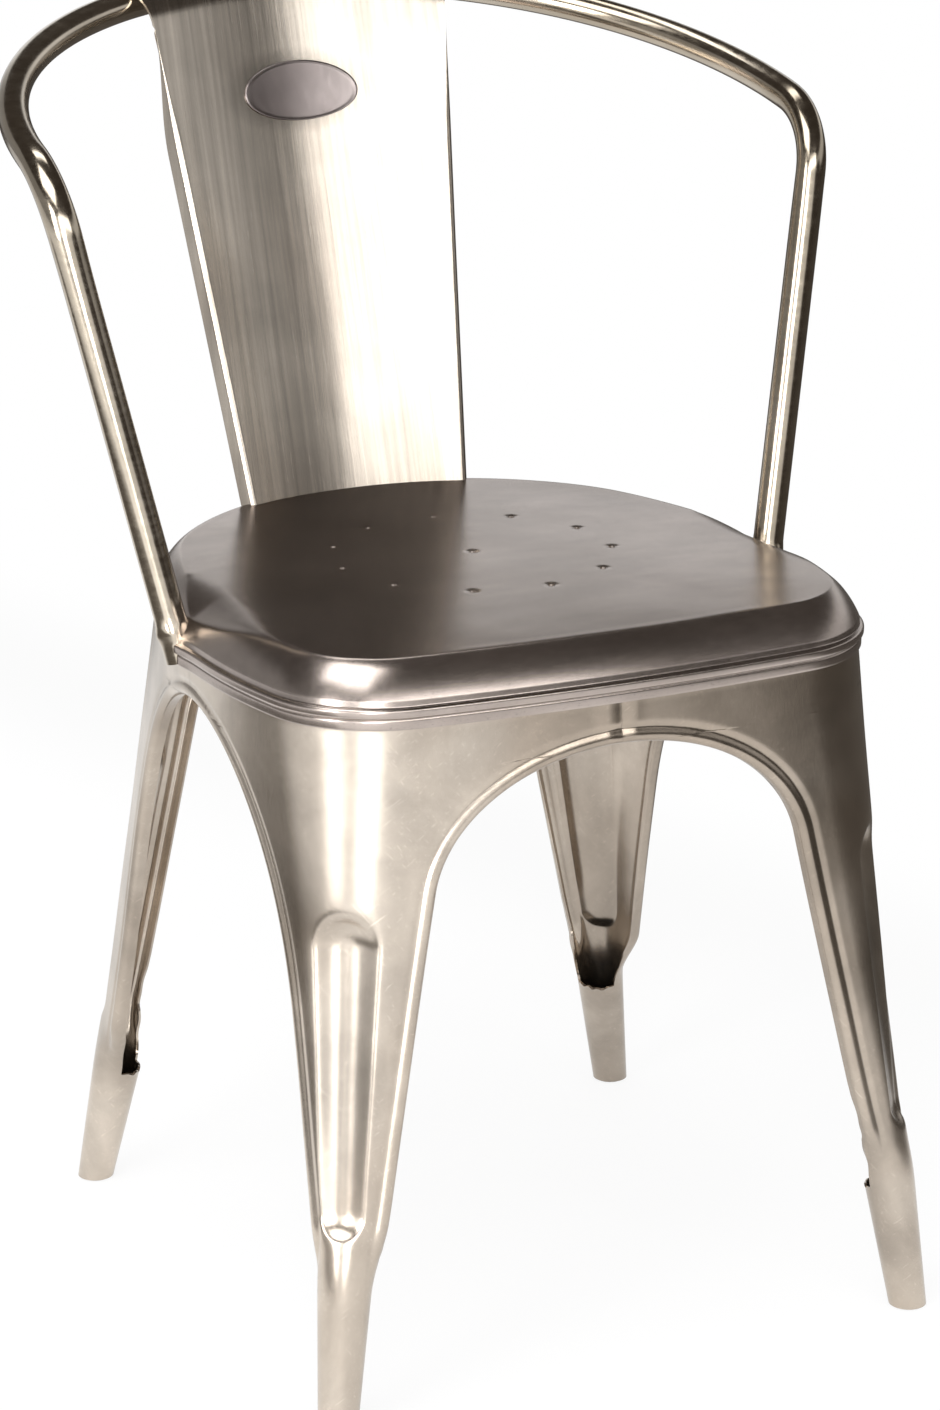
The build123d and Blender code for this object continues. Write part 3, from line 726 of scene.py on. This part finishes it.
def splat_surface():
    """Front of the splat as a grid.

    Columns run from flange to flange, and rows from the seat up and over the tube.
    """
    face, _, roll_mid = splat_sizes()
    v = np.concatenate([np.linspace(0.03, 0.9, 70), np.linspace(0.9, 1.0, 14)[1:]])
    quarter = np.radians(np.linspace(0.0, 90.0, 9))
    half = mix(SPLAT_HALF[0], SPLAT_HALF[1], v)[:, None]
    flange = np.linspace(SPLAT_FLANGE, SPLAT_BEND, 6)[:-1]
    face_share = np.linspace(1.0, -1.0, 62)[1:-1]
    edge_face = 1.0 - SPLAT_BEND / half
    bend_share = 1.0 - SPLAT_BEND * (1.0 - np.cos(quarter)) / half
    bend_deep = SPLAT_BEND * (1.0 - np.sin(quarter))
    right_share = np.concatenate([np.ones((len(v), len(flange))), bend_share], axis=1)
    right_deep = np.concatenate([flange, bend_deep])
    share = np.concatenate([right_share, face_share[None] * edge_face, -right_share[:, ::-1]], axis=1)
    deep = np.concatenate([right_deep, 0.0 * face_share, right_deep[::-1]])
    fade = 1.0 - smooth_step(0.72, 0.985, v)[:, None]
    spread = np.clip(share * half / (half - SPLAT_BEND * (1.0 - fade)), -1.0, 1.0)
    full_share = mix(spread, share, fade)
    panel = splat_point(full_share, deep[None] * fade, np.repeat(v[:, None], share.shape[1], axis=1))
    roll_start = np.radians(180.0 - SPLAT_ROLL_TURN)
    over = np.linspace(roll_start, np.pi / 2.0, 18)[1:]
    back = np.pi / 2.0 - np.radians(np.linspace(0.0, SPLAT_BACK_TURN, 20))[1:]
    outer = SPLAT_ROLL_R + SHEET
    shell = TUBE_R + WELD_GAP + SHEET
    roll_out = np.concatenate([LOOP_R + outer * np.cos(over), LOOP_R + shell * np.cos(back)])
    roll_up = np.concatenate([roll_mid + outer * np.sin(over), shell * np.sin(back)])
    across = full_share[-1] * np.arcsin(SPLAT_HALF[1] / face)
    roll = loop_point(across[None], roll_out[:, None], roll_up[:, None])
    points = np.concatenate([panel, roll])
    return points, grid_faces(*points.shape[:2])[:, ::-1]


def plate_surface():
    """Oval plate as rings: a flat middle, a raised round rim and a side that runs back to the splat."""
    face_low = splat_point(np.zeros(1), np.zeros(1), np.zeros(1))[0]
    face_top = splat_point(np.zeros(1), np.zeros(1), np.ones(1))[0]
    v_mid = (PLATE_Z - SPLAT_LOW_Z) / (face_top[2] - face_low[2])
    tall = np.linalg.norm(face_top - face_low)
    ring = np.array([0.0, 0.2, 0.4, 0.6, 0.75, 0.86, 0.9, 0.93, 0.95, 0.965, 0.98, 0.992, 1.0, 1.0, 1.0])
    rise = np.array([0.0, 0.0, 0.0, 0.0, 0.0, 0.0, 0.0, 0.05, 0.2, 0.3, 0.28, 0.1, -0.25, -0.9, -1.25])
    turn = np.linspace(0.0, 2.0 * np.pi, 97)[:-1]
    p = PLATE[0] * ring[:, None] * np.cos(turn)
    q = PLATE[1] * ring[:, None] * np.sin(turn)
    v = v_mid + q / tall
    half = mix(SPLAT_HALF[0], SPLAT_HALF[1], v)
    deep = np.repeat(-(PLATE_THICK + WELD_GAP + rise)[:, None], len(turn), axis=1)
    points = splat_point(p / half, deep, v)
    return points, grid_faces(*points.shape[:2], wrap=True)


# Finishes


def new_group(name, inputs, outputs):
    """Empty shader group with named sockets, and its input and output nodes."""
    group = bpy.data.node_groups.new(name, "ShaderNodeTree")
    for label, kind, value in inputs:
        socket = group.interface.new_socket(label, in_out="INPUT", socket_type=kind)
        if value is not None:
            socket.default_value = value
    for label, kind in outputs:
        group.interface.new_socket(label, in_out="OUTPUT", socket_type=kind)
    return group, group.nodes.new("NodeGroupInput"), group.nodes.new("NodeGroupOutput")


def new_material(name):
    """Material with an empty node tree, and the tree."""
    material = bpy.data.materials.new(name)
    material.use_nodes = True
    material.node_tree.nodes.clear()
    return material, material.node_tree


def node(tree, kind, values=(), **settings):
    """Node of a tree with its settings. Each given input is linked to a socket or takes a plain default."""
    made = tree.nodes.new(kind)
    for key, value in settings.items():
        setattr(made, key, value)
    for socket, value in dict(values).items():
        if isinstance(value, bpy.types.NodeSocket):
            tree.links.new(value, made.inputs[socket])
        else:
            made.inputs[socket].default_value = value
    return made


def times(tree, first, second):
    """Product of two masks, or of a mask and a number."""
    return node(tree, "ShaderNodeMath", {0: first, 1: second}, operation="MULTIPLY").outputs[0]


def largest(tree, *masks):
    """Largest of several masks."""
    most = masks[0]
    for mask in masks[1:]:
        most = node(tree, "ShaderNodeMath", {0: most, 1: mask}, operation="MAXIMUM").outputs[0]
    return most


def ramp(tree, value, low, high, start=0.0, stop=1.0, shape="LINEAR"):
    """Value carried from the range low to high over to the range start to stop, and held at its ends."""
    values = {"Value": value, "From Min": low, "From Max": high, "To Min": start, "To Max": stop}
    return node(tree, "ShaderNodeMapRange", values, interpolation_type=shape).outputs["Result"]


def soft_side(tree, vector, way, low, high):
    """Mask that grows towards a direction: a soft ramp of the dot product."""
    dot = node(tree, "ShaderNodeVectorMath", {0: vector, 1: way}, operation="DOT_PRODUCT")
    return ramp(tree, dot.outputs["Value"], low, high, shape="SMOOTHSTEP")


def scaled(tree, vector, by):
    """Vector times another one, axis by axis."""
    return node(tree, "ShaderNodeVectorMath", {0: vector, 1: by}, operation="MULTIPLY").outputs[0]


def noise(tree, vector, scale, detail, roughness=0.5, distortion=0.0):
    """Value of a noise texture."""
    values = {
        "Vector": vector,
        "Scale": scale,
        "Detail": detail,
        "Roughness": roughness,
        "Distortion": distortion,
    }
    return node(tree, "ShaderNodeTexNoise", values).outputs["Fac"]


def oval_distance(tree, vector, middle, pace):
    """Length of the way from the middle of an oval spot, with each axis times its pace."""
    spot = node(tree, "ShaderNodeVectorMath", {0: vector, 1: middle}, operation="SUBTRACT")
    oval = scaled(tree, spot.outputs[0], pace)
    return node(tree, "ShaderNodeVectorMath", {0: oval}, operation="LENGTH").outputs["Value"]


def brushed_group():
    """Brush lines: noise stretched along the way of the brush, with a coarse and a fine part."""
    group, come, go = new_group(
        "brush_lines",
        [("Vector", VECTOR, None), ("Stretch", VECTOR, (700.0, 700.0, 14.0))],
        [("Lines", FLOAT), ("Streaks", FLOAT)],
    )
    fine = scaled(group, come.outputs["Vector"], come.outputs["Stretch"])
    coarse = scaled(group, fine, (0.13, 0.13, 0.35))
    group.links.new(noise(group, fine, 1.0, 4.0, 0.6), go.inputs["Lines"])
    group.links.new(noise(group, coarse, 1.0, 3.0, 0.55), go.inputs["Streaks"])
    return group


def mottle_group():
    """Cloudy heat tint and fine dark specks of raw sheet."""
    group, come, go = new_group(
        "mottle",
        [("Vector", VECTOR, None), ("Cloud", FLOAT, 14.0), ("Speck", FLOAT, 900.0)],
        [("Clouds", FLOAT), ("Specks", FLOAT)],
    )
    place = come.outputs["Vector"]
    cloud = noise(group, place, come.outputs["Cloud"], 5.0, 0.55, 0.4)
    speck = noise(group, place, come.outputs["Speck"], 2.0)
    group.links.new(cloud, go.inputs["Clouds"])
    group.links.new(ramp(group, speck, 0.62, 0.74), go.inputs["Specks"])
    return group


def tint_group():
    """Slow heat tint in wide soft patches, plus a painted floor reflection that makes it paler low down."""
    group, come, go = new_group(
        "heat_tint_and_painted_floor_light",
        [("Vector", VECTOR, None), ("Patch", FLOAT, 5.0), ("Floor", FLOAT, 0.0)],
        [("Tint", FLOAT)],
    )
    place = come.outputs["Vector"]
    patch = noise(group, place, come.outputs["Patch"], 2.0, 0.45, 0.6)
    spread = ramp(group, patch, 0.33, 0.67, shape="SMOOTHSTEP")
    # Painted reflection: the metal turns paler towards the floor, standing in for the pale floor seen in it
    height = node(group, "ShaderNodeSeparateXYZ", {0: place}).outputs["Z"]
    low = ramp(group, height, 0.38, 0.02, shape="SMOOTHSTEP")
    painted_floor_light = times(group, low, come.outputs["Floor"])
    group.links.new(largest(group, spread, painted_floor_light), go.inputs["Tint"])
    return group


def scratch_group():
    """Faint crossed scratches: two noises stretched along different slants, cut to thin lines."""
    group, come, go = new_group("scratches", [("Vector", VECTOR, None)], [("Lines", FLOAT)])
    masks = []
    for slant in ((0.5, 0.6, 0.4), (-0.4, -0.9, 0.2)):
        values = {"Vector": come.outputs["Vector"], "Rotation": slant}
        lay = node(group, "ShaderNodeVectorRotate", values, rotation_type="EULER_XYZ")
        long = scaled(group, lay.outputs[0], (900.0, 900.0, 16.0))
        masks.append(ramp(group, noise(group, long, 1.0, 1.0), 0.66, 0.76))
    group.links.new(largest(group, *masks), go.inputs["Lines"])
    return group


def steel(
    name,
    dark,
    pale,
    rough,
    stretch,
    patch,
    bump,
    lines,
    floor=0.0,
    specks=0.0,
    scratches=0.0,
    clouds=0.11,
    halo=0.0,
    hollow=0.0,
):
    """Raw steel under lacquer, with a fine brushed gloss.

    A slow tint between two tones is shaded by brush lines, clouds, specks and scratches. Its floor share is
    a painted reflection that pales the metal low down. Halo darkens the front round the oval plate, and
    hollow is painted shade in the flutes.
    """
    material, tree = new_material(name)
    where = node(tree, "ShaderNodeTexCoord")
    place = where.outputs["Object"]
    brush = node(tree, "ShaderNodeGroup", {"Vector": place, "Stretch": stretch}, node_tree=groups["brush"])
    mottle = node(tree, "ShaderNodeGroup", {"Vector": place}, node_tree=groups["mottle"])
    slow = {"Vector": place, "Patch": patch, "Floor": floor}
    tint = node(tree, "ShaderNodeGroup", slow, node_tree=groups["tint"])
    marks = node(tree, "ShaderNodeGroup", {"Vector": place}, node_tree=groups["scratches"])
    tones = {0: tint.outputs["Tint"], 6: dark + (1.0,), 7: pale + (1.0,)}
    colour = node(tree, "ShaderNodeMix", tones, data_type="RGBA")
    shades = [
        ramp(tree, brush.outputs["Streaks"], *NOISE_SPAN, 1.0 - lines, 1.0 + lines),
        ramp(tree, brush.outputs["Lines"], *NOISE_SPAN, 1.0 - lines / 2.0, 1.0 + lines / 2.0),
        ramp(tree, mottle.outputs["Clouds"], *NOISE_SPAN, 1.0 - clouds, 1.0 + clouds),
        ramp(tree, mottle.outputs["Specks"], 0.0, 1.0, 1.0, 1.0 - specks),
        ramp(tree, marks.outputs["Lines"], 0.0, 1.0, 1.0, 1.0 + scratches),
    ]
    if halo:
        pace = (1.0 / (PLATE[0] * MM), 0.0, 1.05 / (PLATE[1] * MM))
        near = ramp(tree, oval_distance(tree, place, (0.0, 0.0, PLATE_Z * MM), pace), 0.95, 1.5, 1.0, 0.0)
        facing = soft_side(tree, where.outputs["Normal"], (0.0, -1.0, 0.0), 0.0, 0.3)
        shades.append(ramp(tree, times(tree, near, facing), 0.0, 1.0, 1.0, 1.0 - halo))
    # Hollow is painted shade: a dark oval spot, mirrored to each side, darkens the flutes
    if hollow:
        mirrored = node(tree, "ShaderNodeVectorMath", {0: place}, operation="ABSOLUTE").outputs[0]
        away = oval_distance(tree, mirrored, [size * MM for size in FLUTE_SHADE_MID], FLUTE_SHADE_PACE)
        shades.append(ramp(tree, away, 0.55, 1.05, 1.0 - hollow, 1.0))
    shade = shades[0]
    for part in shades[1:]:
        shade = times(tree, shade, part)
    toned = node(tree, "ShaderNodeVectorMath", {0: colour.outputs[2], "Scale": shade}, operation="SCALE")
    height = brush.outputs["Lines"]
    relief = node(tree, "ShaderNodeBump", {"Height": height, "Strength": bump, "Distance": 0.0004})
    values = {
        "Base Color": toned.outputs[0],
        "Roughness": ramp(tree, brush.outputs["Lines"], *NOISE_SPAN, *rough),
        "Normal": relief.outputs["Normal"],
        "Metallic": 1.0,
        "Coat Weight": 0.1,
        "Coat Roughness": 0.15,
    }
    shader = node(tree, "ShaderNodeBsdfPrincipled", values)
    node(tree, "ShaderNodeOutputMaterial", {"Surface": shader.outputs["BSDF"]})
    return material


def rubber(name):
    """Matt black rubber with a fine moulded grain."""
    material, tree = new_material(name)
    place = node(tree, "ShaderNodeTexCoord").outputs["Object"]
    grain = noise(tree, place, 1400.0, 3.0)
    colour = node(tree, "ShaderNodeValToRGB", {"Fac": grain})
    colour.color_ramp.elements[0].color = (0.012, 0.012, 0.012, 1.0)
    colour.color_ramp.elements[1].color = (0.03, 0.03, 0.03, 1.0)
    relief = node(tree, "ShaderNodeBump", {"Height": grain, "Strength": 0.3, "Distance": 0.0003})
    values = {"Base Color": colour.outputs["Color"], "Normal": relief.outputs["Normal"], "Roughness": 0.7}
    shader = node(tree, "ShaderNodeBsdfPrincipled", values)
    node(tree, "ShaderNodeOutputMaterial", {"Surface": shader.outputs["BSDF"]})
    return material


groups = {
    "brush": brushed_group(),
    "mottle": mottle_group(),
    "tint": tint_group(),
    "scratches": scratch_group(),
}
seat_steel = steel(
    "seat_steel",
    dark=(0.39, 0.335, 0.30),
    pale=(0.46, 0.40, 0.365),
    rough=(0.24, 0.27),
    stretch=(160.0, 420.0, 300.0),
    patch=6.0,
    bump=0.03,
    lines=0.06,
    specks=0.3,
    scratches=0.08,
)
leg_steel = steel(
    "leg_steel",
    dark=(0.38, 0.32, 0.26),
    pale=(0.56, 0.495, 0.425),
    rough=(0.22, 0.27),
    stretch=(1100.0, 1100.0, 200.0),
    patch=7.0,
    bump=0.003,
    lines=0.02,
    # floor is a painted reflection of the pale floor that makes the lower legs paler
    floor=0.6,
    scratches=0.18,
    clouds=0.24,
    # hollow is painted shade that darkens the flutes
    hollow=0.3,
)
tube_steel = steel(
    "tube_steel",
    dark=(0.38, 0.325, 0.25),
    pale=(0.50, 0.44, 0.36),
    rough=(0.12, 0.22),
    stretch=(90.0, 90.0, 260.0),
    patch=7.0,
    bump=0.02,
    lines=0.08,
)
splat_steel = steel(
    "splat_steel",
    dark=(0.37, 0.32, 0.27),
    pale=(0.48, 0.43, 0.37),
    rough=(0.16, 0.28),
    stretch=(1500.0, 0.0, 14.0),
    patch=6.0,
    bump=0.05,
    lines=0.2,
    halo=0.35,
)
plate_steel = steel(
    "plate_steel",
    dark=(0.22, 0.188, 0.18),
    pale=(0.27, 0.235, 0.225),
    rough=(0.28, 0.36),
    stretch=(300.0, 300.0, 60.0),
    patch=20.0,
    bump=0.03,
    lines=0.05,
)
plug_rubber = rubber("plug_rubber")

build_legs(leg_steel)
make_piece("seat_pan_sheet", "seat_pan", "seat_steel", seat_steel, *seat_surface(), wall=SHEET)
make_piece("back_tube_bend", "back_tube", "tube_steel", tube_steel, *tube_surface(), wall=SHEET)
make_piece("back_splat_sheet", "back_splat", "splat_steel", splat_steel, *splat_surface(), wall=SHEET)
make_piece("oval_plate_blank", "oval_plate", "plate_steel", plate_steel, *plate_surface())
for name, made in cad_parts.items():
    finish = plug_rubber if name.startswith("foot_plug") else leg_steel
    made.data.materials.clear()
    made.data.materials.append(finish)


# Studio


def studio_floor():
    """Wide pale floor, dark far to the right and in a strip to the left.

    The camera sees it near white with the chair's shadow on it. Metal sees part of that white where the
    floor is pale.
    """
    side = 12.0
    corners = [(-side, -side, 0.0), (side, -side, 0.0), (side, side, 0.0), (-side, side, 0.0)]
    mesh = bpy.data.meshes.new("floor")
    mesh.from_pydata(corners, [], [(0, 1, 2, 3)])
    floor = bpy.data.objects.new("floor", mesh)
    bpy.context.scene.collection.objects.link(floor)
    material, tree = new_material("pale_floor")
    place = node(tree, "ShaderNodeTexCoord").outputs["Object"]
    far_right = soft_side(tree, place, (0.95, 0.31, 0.0), 0.3, 0.75)
    far_left = soft_side(tree, place, (-1.0, 0.0, 0.0), 0.45, 0.9)
    before = soft_side(tree, place, (-0.3, -0.95, 0.0), -0.72, -0.55)
    after = soft_side(tree, place, (-0.3, 0.95, 0.0), -0.6, -0.3)
    near = soft_side(tree, place, (1.0, 0.0, 0.0), -2.0, -1.6)
    wedge = times(tree, before, after)
    left_strip = times(tree, far_left, times(tree, wedge, near))
    far = largest(tree, far_right, left_strip)
    tones = {0: far, 6: (0.82, 0.82, 0.82, 1.0), 7: (0.10, 0.09, 0.08, 1.0)}
    sheet = node(tree, "ShaderNodeMix", tones, data_type="RGBA")
    paint = node(tree, "ShaderNodeBsdfDiffuse", {"Color": sheet.outputs[2]})
    white = node(tree, "ShaderNodeEmission", {"Color": WHITE, "Strength": 1.0})
    path = node(tree, "ShaderNodeLightPath")
    seen = times(tree, path.outputs["Is Camera Ray"], ramp(tree, far, 0.0, 1.0, 0.86, 1.0))
    mirrored = largest(tree, path.outputs["Is Glossy Ray"], path.outputs["Is Transmission Ray"])
    glossy = times(tree, mirrored, ramp(tree, far, 0.0, 1.0, 0.3, 0.0))
    shown = largest(tree, seen, glossy)
    blend = node(tree, "ShaderNodeMixShader", {0: shown, 1: paint.outputs[0], 2: white.outputs[0]})
    node(tree, "ShaderNodeOutputMaterial", {"Surface": blend.outputs[0]})
    floor.data.materials.append(material)


def studio_world():
    """White surround for the camera, as in a studio.

    Metal sees it with a dark ceiling, a dark low wall on the right, dimmer walls behind and ahead, and a
    dark screen low in front.
    """
    world = bpy.data.worlds.new("studio")
    bpy.context.scene.world = world
    world.use_nodes = True
    tree = world.node_tree
    tree.nodes.clear()
    way = node(tree, "ShaderNodeTexCoord").outputs["Generated"]
    above = soft_side(tree, way, (0.0, 0.0, 1.0), 0.31, 0.4)
    right = soft_side(tree, way, (1.0, 0.0, 0.0), 0.25, 0.5)
    low = soft_side(tree, way, (0.0, 0.0, -1.0), -0.2, -0.06)
    behind = soft_side(tree, way, (-0.85, 0.53, 0.0), 0.34, 0.55)
    ahead = soft_side(tree, way, (0.87, -0.5, 0.0), 0.67, 0.82)
    front = soft_side(tree, way, (0.574, -0.819, 0.0), 0.9, 0.97)
    under = soft_side(tree, way, (0.0, 0.0, -1.0), -0.34, -0.24)
    walls = largest(tree, times(tree, right, low), times(tree, behind, 0.7), times(tree, ahead, 0.25))
    dim = largest(tree, above, walls, times(tree, front, under))
    path = node(tree, "ShaderNodeLightPath")
    camera_ray = path.outputs["Is Camera Ray"]
    seen = node(tree, "ShaderNodeMath", {0: dim, 1: camera_ray}, operation="SUBTRACT", use_clamp=True)
    tones = {0: seen.outputs[0], 6: WHITE, 7: (0.06, 0.05, 0.042, 1.0)}
    tone = node(tree, "ShaderNodeMix", tones, data_type="RGBA")
    backdrop = node(tree, "ShaderNodeBackground", {"Color": tone.outputs[2], "Strength": 1.0})
    glow = node(tree, "ShaderNodeBackground", {"Color": WHITE, "Strength": 0.8})
    mirrored = largest(tree, path.outputs["Is Glossy Ray"], path.outputs["Is Transmission Ray"])
    clear = largest(tree, camera_ray, mirrored)
    blend = node(tree, "ShaderNodeMixShader", {0: clear, 1: glow.outputs[0], 2: backdrop.outputs[0]})
    node(tree, "ShaderNodeOutputWorld", {"Surface": blend.outputs[0]})


def softbox(name, place, aim, size, power):
    """Rectangular soft lamp that points at aim."""
    lamp = bpy.data.lights.new(name, "AREA")
    lamp.shape = "RECTANGLE"
    lamp.size, lamp.size_y = size
    lamp.energy = power
    holder = bpy.data.objects.new(name, lamp)
    bpy.context.scene.collection.objects.link(holder)
    holder.location = place
    holder.rotation_euler = (Vector(aim) - Vector(place)).to_track_quat("-Z", "Y").to_euler()


def photo_camera():
    """Camera at the photograph's place: a long lens turned down on the chair from the front left."""
    azimuth, elevation = np.radians((-25.65, 17.73))
    place = (-1.0430, -2.2077, 1.1204)
    level = np.cos(elevation)
    back = Vector((np.sin(azimuth) * level, -np.cos(azimuth) * level, np.sin(elevation)))
    right = (-back).cross(Vector((0.0, 0.0, 1.0))).normalized()
    up = right.cross(-back)
    lens = bpy.data.cameras.new("photo_camera")
    lens.sensor_width = 36.0
    lens.lens = 104.2
    camera = bpy.data.objects.new("photo_camera", lens)
    bpy.context.scene.collection.objects.link(camera)
    turn = Matrix((right, up, back)).transposed().to_4x4()
    camera.matrix_world = Matrix.Translation(place) @ turn
    bpy.context.scene.camera = camera


studio_floor()
studio_world()
softbox("left_window", (-3.2, -1.7, 1.15), (0.0, 0.0, 0.5), (1.0, 1.9), 50.0)
softbox("near_window", (-1.7, -3.1, 1.15), (0.0, 0.0, 0.5), (1.0, 1.9), 50.0)
softbox("front_panel", (-0.12, -3.6, 2.25), (0.0, 0.1, 0.6), (3.64, 0.9), 44.0)
softbox("over_back", (0.1, 0.75, 2.7), (0.0, -0.2, 0.45), (1.4, 0.5), 8.0)
softbox("top_left", (-1.1, -0.7, 2.4), (-0.17, -0.2, 0.44), (1.6, 1.3), 29.0)
photo_camera()
bpy.context.scene.view_settings.view_transform = "Standard"
